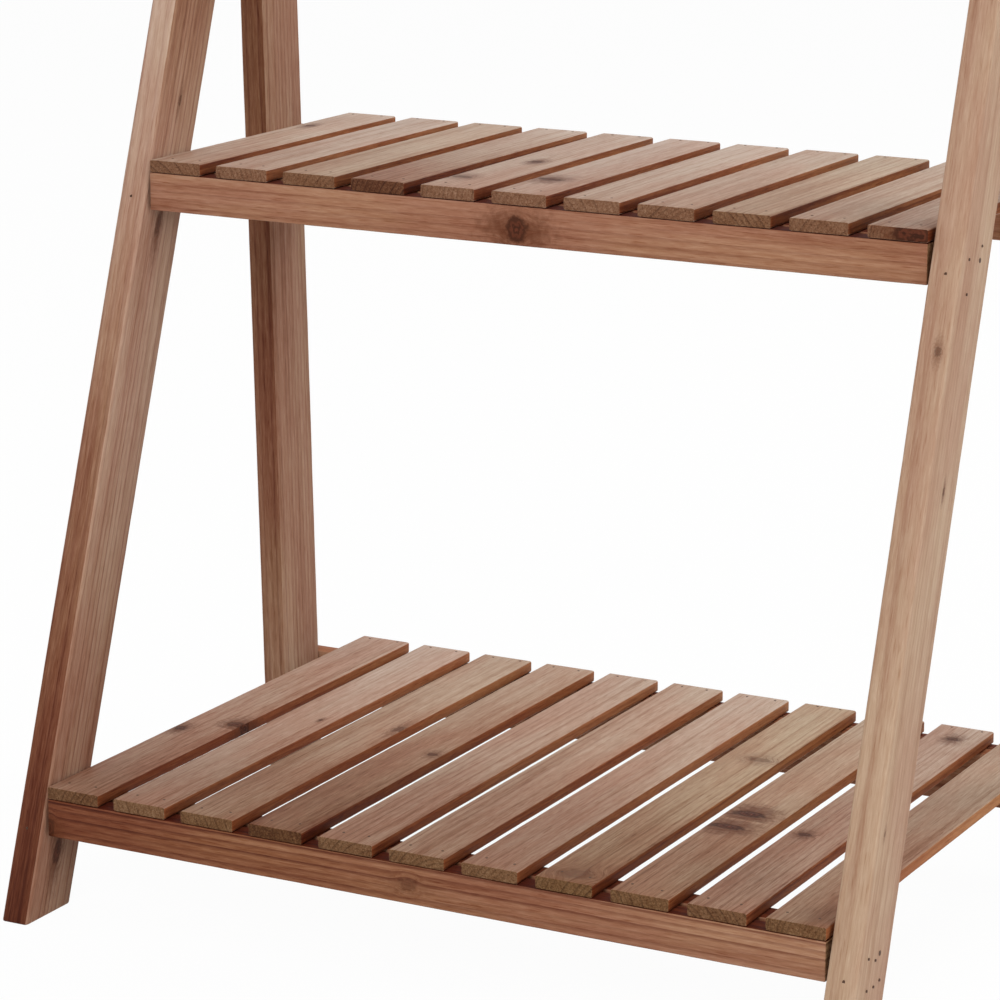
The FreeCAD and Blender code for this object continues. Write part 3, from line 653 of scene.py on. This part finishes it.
def buildLegs():
    upright = Matrix.Rotation(-math.pi / 2, 4, "Y")
    for number, (node, knots) in enumerate(legs["knots"].items()):
        low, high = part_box(node)
        width, spread, height = high - low
        lean, level = legLean(node)
        size = (height, level, width)
        leg = cutStick(node.replace("_leg", "_post"), size, legs)
        chance = random.Random(legs["seed"] + number)
        wearStick(leg, chance)
        placed = []
        for kind, up, behind, halfLong, halfWide, dark in knots:
            across = 1000 * width - behind if kind == "side" else behind
            placed.append(placeKnot(size, width if kind == "side" else level, kind, up, across,
                                    halfLong, halfWide, dark))
        board = dict(legs["boards"][node], turn=chance.uniform(*legs["turn"]))
        markWood(leg, size, chance, board, placed)
        leaning = Matrix.Identity(4)
        leaning[1][2] = math.tan(lean)
        leg.data.transform(Matrix.Translation((low + high) / 2) @ leaning @ upright)
        seatPiece(leg, woods["leg"], bodyOf[node], node)
    print("legs stood")


buildLegs()
for pattern in patterns.values():
    bpy.data.objects.remove(pattern)


# steel: bright zinc on the bolts, washers, nuts and screws, which shows a faint spangle 1.5 mm
# across, and bare drawn rod on the pins and nails, which rust and stain mottle at half of that
zincLook = dict(dark="#A9A8A2", bright="#D2D2CC", spot=0.0015, roughness=(0.26, 0.44), metallic=1.0)
rodLook = dict(dark="#3A271C", bright="#684A38", spot=0.0008, roughness=(0.5, 0.75), metallic=0.5)


def mottledSteel(name, look):
    material = emptyMaterial(name)
    tree = material.node_tree
    place = addNode(tree, "ShaderNodeTexCoord", {}).outputs["Object"]
    spots = addNode(tree, "ShaderNodeTexNoise", {}, {"Vector": place, "Scale": 1 / look["spot"],
                    "Detail": 3.0})
    tint = addNode(tree, "ShaderNodeMix", {"data_type": "RGBA"},
                   {0: spots, 6: toLinear(look["dark"]), 7: toLinear(look["bright"])})
    rough = addNode(tree, "ShaderNodeMapRange", {},
                    {0: spots, 3: look["roughness"][0], 4: look["roughness"][1]})
    shader = addNode(tree, "ShaderNodeBsdfPrincipled", {}, {"Metallic": look["metallic"],
                     "Base Color": tint, "Roughness": rough})
    addNode(tree, "ShaderNodeOutputMaterial", {}, {"Surface": shader})
    return material


zinc = mottledSteel("zincPlatedSteel", zincLook)
brownSteel = mottledSteel("stainedSteelRod", rodLook)


# bolts, washers and pins keep the shape of their nodes
for node, finish in (("leg_bolts", zinc), ("leg_bolt_washers", zinc), ("shelf_pins", brownSteel)):
    for slot in frame["nodes"][node].material_slots:
        slot.material = finish
print("steel finished")


def joinPieces(pieces, name):
    deselectAll()
    for piece in pieces:
        piece.select_set(True)
    bpy.context.view_layer.objects.active = pieces[0]
    bpy.ops.object.join()
    pieces[0].name = pieces[0].data.name = name
    return pieces[0]


def cutWith(cutter, piece, operation="DIFFERENCE"):
    bpy.context.view_layer.objects.active = piece
    trim = piece.modifiers.new("cut", "BOOLEAN")
    trim.operation = operation
    trim.object = cutter
    bpy.ops.object.modifier_apply(modifier="cut")
    bpy.data.objects.remove(cutter)


def shadeSmooth(piece, degrees):
    deselectAll()
    bpy.context.view_layer.objects.active = piece
    piece.select_set(True)
    bpy.ops.object.shade_smooth_by_angle(angle=math.radians(degrees))


# countersunk screws with a cross recess, four to a bar
screws = {
    "headRadius": 0.004, "rim": 0.00012, "radius": 0.002, "length": 0.036,
    # the point and its tip: how long each is, and its width at the lower end as a share
    "point": (0.0035, 0.35), "tip": (0.0005, 0.2),
    "recessWidth": 0.0009, "recessReach": 0.0024, "recessDepth": 0.0011, "recessTurn": 0.35,
    "aside": 0.2895, "spacing": 0.017,  # from the middle of the bar, and from screw to screw
    "turns": (1.1, 0.7),  # how far the drive left each head turned: by side, and by up or down
}


def makeScrew():
    deselectAll()
    radius, head = screws["radius"], screws["headRadius"]
    bpy.ops.mesh.primitive_circle_add(vertices=28, radius=head, fill_type="NGON", location=(0, 0, 0))
    screw = bpy.context.object
    bpy.ops.object.mode_set(mode="EDIT")
    bpy.ops.mesh.select_all(action="SELECT")
    # rim, countersink, shank, point and tip, pulled out downwards from the round of the head
    sink = head - radius
    shank = screws["length"] - sink - screws["point"][0] - screws["tip"][0]
    steps = ((screws["rim"], 1.0), (sink - screws["rim"], radius / head), (shank, 1.0),
             screws["point"], screws["tip"])
    for down, narrow in steps:
        bpy.ops.mesh.extrude_region_move(TRANSFORM_OT_translate={"value": (0, 0, -down)})
        bpy.ops.transform.resize(value=(narrow, narrow, 1))
    bpy.ops.mesh.select_all(action="SELECT")
    bpy.ops.mesh.normals_make_consistent(inside=False)
    bpy.ops.object.mode_set(mode="OBJECT")
    slit = (2 * screws["recessReach"], screws["recessWidth"], 2 * screws["recessDepth"])
    for turn in (screws["recessTurn"], screws["recessTurn"] + math.pi / 2):
        deselectAll()
        bpy.ops.mesh.primitive_cube_add(size=1, location=(0, 0, 0), rotation=(0, 0, turn), scale=slit)
        cutWith(bpy.context.object, screw)
    shadeSmooth(screw, 35)
    return screw


def buildScrews():
    pattern = makeScrew()
    placed = []
    for tier in tierNames:
        for side in (-1, 1):
            for up in (-1, 1):
                # heads lie in the bars' rear faces
                place = (side * screws["aside"], up * screws["spacing"] / 2, -bars["thick"] / 2)
                driven = screws["turns"][0] * side + screws["turns"][1] * up
                screw = copyPiece(pattern, "screw")
                screw.data.transform(barMatrix(tier) @ Matrix.Translation(place)
                                     @ Matrix.Rotation(math.pi, 4, "X") @ Matrix.Rotation(driven, 4, "Z"))
                placed.append(screw)
    bpy.data.objects.remove(pattern)
    seatPiece(joinPieces(placed, "bar_screws"), zinc, "back_frame", "back_bar_screws")
    print("screws driven")


buildScrews()


# hexagon nuts with turned corners, on the ends of the leg bolts. The boolean cuts leave slivers a few
# thousandths of a millimetre wide, and corners closer than "merge" become one
nuts = {"flats": 0.010, "height": 0.006, "bore": 0.00305, "blankRadius": 0.00625, "merge": 0.00002}


def makeNut():
    deselectAll()
    bpy.ops.mesh.primitive_cylinder_add(vertices=6, radius=nuts["flats"] / math.sqrt(3),
                                        depth=nuts["height"], location=(0, 0, 0))
    nut = bpy.context.object
    # the corners are turned off by a rounded blank that the hexagon is cut with
    bpy.ops.mesh.primitive_uv_sphere_add(segments=48, ring_count=24, radius=nuts["blankRadius"],
                                         location=(0, 0, 0))
    cutWith(bpy.context.object, nut, "INTERSECT")
    deselectAll()
    bpy.ops.mesh.primitive_cylinder_add(vertices=32, radius=nuts["bore"], depth=3 * nuts["height"],
                                        location=(0, 0, 0))
    cutWith(bpy.context.object, nut)
    deselectAll()
    editMesh(nut, "faces", lambda face: True,
             lambda: bpy.ops.mesh.remove_doubles(threshold=nuts["merge"]))
    shadeSmooth(nut, 25)
    return nut


def buildNuts():
    low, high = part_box("leg_bolt_nuts")
    middle = (low + high) / 2
    pattern = makeNut()
    placed = []
    for side in (-1, 1):
        nut = copyPiece(pattern, "nut")
        across = side * (high.x - nuts["height"] / 2)
        nut.data.transform(Matrix.Translation((across, middle.y, middle.z))
                           @ Matrix.Rotation(math.pi / 2, 4, "Y") @ Matrix.Rotation(math.pi / 6, 4, "Z"))
        placed.append(nut)
    bpy.data.objects.remove(pattern)
    seatPiece(joinPieces(placed, "bolt_nuts"), zinc, "front_frame", "leg_bolt_nuts")
    print("nuts turned on")


buildNuts()


# nails: small round heads, set level with the wood
nails = {
    "radius": 0.0008, "proud": 0.00012, "depth": 0.0012,
    "dish": (0.00028, 0.00006),  # the hollow of the head: how far in from its edge, how deep
    "sunk": 0.0002,  # below the face of the wood
    # slat nails: behind the front end and before the rear end, in from each edge
    "front": 0.0125, "rear": 0.0045, "aside": 0.009,
    "scatter": (0.002, 0.0015), "seeds": {"lower": 85, "middle": 86, "upper": 85},
    # in the outer face of each front leg: behind its front face, above the floor (mm)
    "legSides": [(11.3, 436.7), (15.2, 417.2), (12.7, 65.2), (23.7, 61.4), (34.7, 47.7), (26.4, 46.6),
                 (16.5, 47.3), (29.4, 441.3)],
    # in the front face of each front leg: from its outer edge, above the floor (mm)
    "legFronts": [(8.0, 56.0), (8.6, 430.0)],
}


def makeNail():
    deselectAll()
    bpy.ops.mesh.primitive_cylinder_add(vertices=14, radius=nails["radius"], depth=nails["depth"],
                                        location=(0, 0, nails["proud"] - nails["depth"] / 2))
    nail = bpy.context.object
    rim, hollow = nails["dish"]
    editMesh(nail, "faces", lambda face: face.normal.z > 0.9,
             lambda: bpy.ops.mesh.inset(thickness=rim, depth=-hollow))
    return nail


def buildNails():
    pattern = makeNail()
    sunk = nails["sunk"]
    slip, slide = nails["scatter"]

    def drive(heads, place, turned):
        head = copyPiece(pattern, "nail")
        head.data.transform(Matrix.Translation(place) @ turned)
        heads.append(head)

    for tier in tierNames:
        heads = []
        chance = random.Random(nails["seeds"][tier])
        for node in sorted(name for name in bodyOf if name.startswith(f"{tier}_shelf_slat")):
            low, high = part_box(node)
            for y in (low.y + nails["front"], high.y - nails["rear"]):
                for x in (low.x + nails["aside"], high.x - nails["aside"]):
                    place = (x + chance.uniform(-slip, slip), y + chance.uniform(-slide, slide),
                             high.z - sunk)
                    drive(heads, place, Matrix.Identity(4))
        seatPiece(joinPieces(heads, f"{tier}_slat_nails"), brownSteel, f"{tier}_shelf")
    heads = []
    for side, node in ((-1, "front_leg_left"), (1, "front_leg_right")):
        low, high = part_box(node)
        lean = legLean(node)[0]
        outer = high.x if side > 0 else low.x
        for behind, up in nails["legSides"]:
            y = low.y + up / 1000 * math.tan(lean) + behind / 1000
            drive(heads, (outer - side * sunk, y, up / 1000), Matrix.Rotation(side * math.pi / 2, 4, "Y"))
        for aside, up in nails["legFronts"]:
            y = low.y + up / 1000 * math.tan(lean) + sunk
            drive(heads, (outer - side * aside / 1000, y, up / 1000),
                  Matrix.Rotation(math.pi / 2 + lean, 4, "X"))
    seatPiece(joinPieces(heads, "front_leg_nails"), brownSteel, "front_frame")
    bpy.data.objects.remove(pattern)
    print("nails driven")


buildNails()


# studio: pale floor, white surroundings, soft lamps
studio = {
    "floorHalf": 6.0, "floorPaper": "#F4F4F2", "world": 0.38,
    "glowShare": 0.965,  # the rest is lit paper, and with it the stand's shadow
    "lamps": {
        # name: place, aim, size in metres, watts
        "keyLamp": ((1.1, 2.1, 2.6), (0.0, 0.1, 0.3), 1.6, 50.0),
        "sideLamp": ((3.0, -0.5, 1.5), (0.0, 0.0, 0.4), 1.6, 22.0),
        "frontLamp": ((0.6, -2.6, 1.9), (0.0, 0.0, 0.5), 1.6, 46.0),
        "leftLamp": ((-3.0, -0.6, 1.8), (0.0, 0.0, 0.5), 1.8, 12.0),
    },
}


# white where a camera, a reflection or a clear thing looks at it, plain where it sends light on
def seenWhite(tree):
    path = addNode(tree, "ShaderNodeLightPath", {}).outputs
    mirrored = addNode(tree, "ShaderNodeMath", {"operation": "MAXIMUM"},
                       {0: path["Is Glossy Ray"], 1: path["Is Transmission Ray"]})
    return addNode(tree, "ShaderNodeMath", {"operation": "MAXIMUM"},
                   {0: path["Is Camera Ray"], 1: mirrored})


def buildStudio():
    deselectAll()
    bpy.ops.mesh.primitive_plane_add(size=2 * studio["floorHalf"], location=(0, 0, 0))
    floor = bpy.context.object
    floor.name = "studioFloor"
    paper = emptyMaterial("studioFloorPaper")
    tree = paper.node_tree
    share = addNode(tree, "ShaderNodeMath", {"operation": "MULTIPLY"},
                    {0: seenWhite(tree), 1: studio["glowShare"]})
    lit = addNode(tree, "ShaderNodeBsdfDiffuse", {}, {"Color": toLinear(studio["floorPaper"])})
    glow = addNode(tree, "ShaderNodeEmission", {}, {"Color": (1, 1, 1, 1), "Strength": 1.0})
    mixed = addNode(tree, "ShaderNodeMixShader", {}, {0: share, 1: lit, 2: glow})
    addNode(tree, "ShaderNodeOutputMaterial", {}, {"Surface": mixed})
    floor.data.materials.append(paper)
    world = bpy.data.worlds.new("studioWorld")
    bpy.context.scene.world = world
    world.use_nodes = True
    tree = world.node_tree
    tree.nodes.clear()
    soft = addNode(tree, "ShaderNodeBackground", {}, {"Color": (1, 1, 1, 1), "Strength": studio["world"]})
    white = addNode(tree, "ShaderNodeBackground", {}, {"Color": (1, 1, 1, 1), "Strength": 1.0})
    mixed = addNode(tree, "ShaderNodeMixShader", {}, {0: seenWhite(tree), 1: soft, 2: white})
    addNode(tree, "ShaderNodeOutputWorld", {}, {"Surface": mixed})
    for name, (place, aim, size, watts) in studio["lamps"].items():
        light = bpy.data.lights.new(name, "AREA")
        light.shape = "DISK"
        light.size = size
        light.energy = watts
        lamp = bpy.data.objects.new(name, light)
        lamp.location = place
        lamp.rotation_euler = (Vector(aim) - Vector(place)).to_track_quat("-Z", "Y").to_euler()
        bpy.context.scene.collection.objects.link(lamp)
    bpy.context.scene.view_settings.view_transform = "Standard"
    print("studio lit")


buildStudio()


# camera: a long lens to the right of the stand, its height just under the upper shelf (metres and
# degrees), then its focal length and the middle of its view in pixels of the image, and its sensor
camera = {
    "place": (1.02286, -1.99892, 0.80845), "yaw": 27.407, "pitch": 11.762, "roll": 0.386,
    "focal": 3781.2, "centre": (542.2, 361.8), "image": 1000.0, "sensor": 36.0, "nearest": 0.05,
}


def placeCamera():
    lens = bpy.data.cameras.new("photoLens")
    lens.sensor_width = camera["sensor"]
    lens.lens = camera["focal"] * camera["sensor"] / camera["image"]
    lens.shift_x = 0.5 - camera["centre"][0] / camera["image"]
    lens.shift_y = camera["centre"][1] / camera["image"] - 0.5
    lens.clip_start = camera["nearest"]
    eye = bpy.data.objects.new("photoCamera", lens)
    eye.matrix_world = (Matrix.Translation(camera["place"])
                        @ Matrix.Rotation(math.radians(camera["yaw"]), 4, "Z")
                        @ Matrix.Rotation(math.radians(90 - camera["pitch"]), 4, "X")
                        @ Matrix.Rotation(math.radians(camera["roll"]), 4, "Z"))
    bpy.context.scene.collection.objects.link(eye)
    bpy.context.scene.camera = eye


placeCamera()
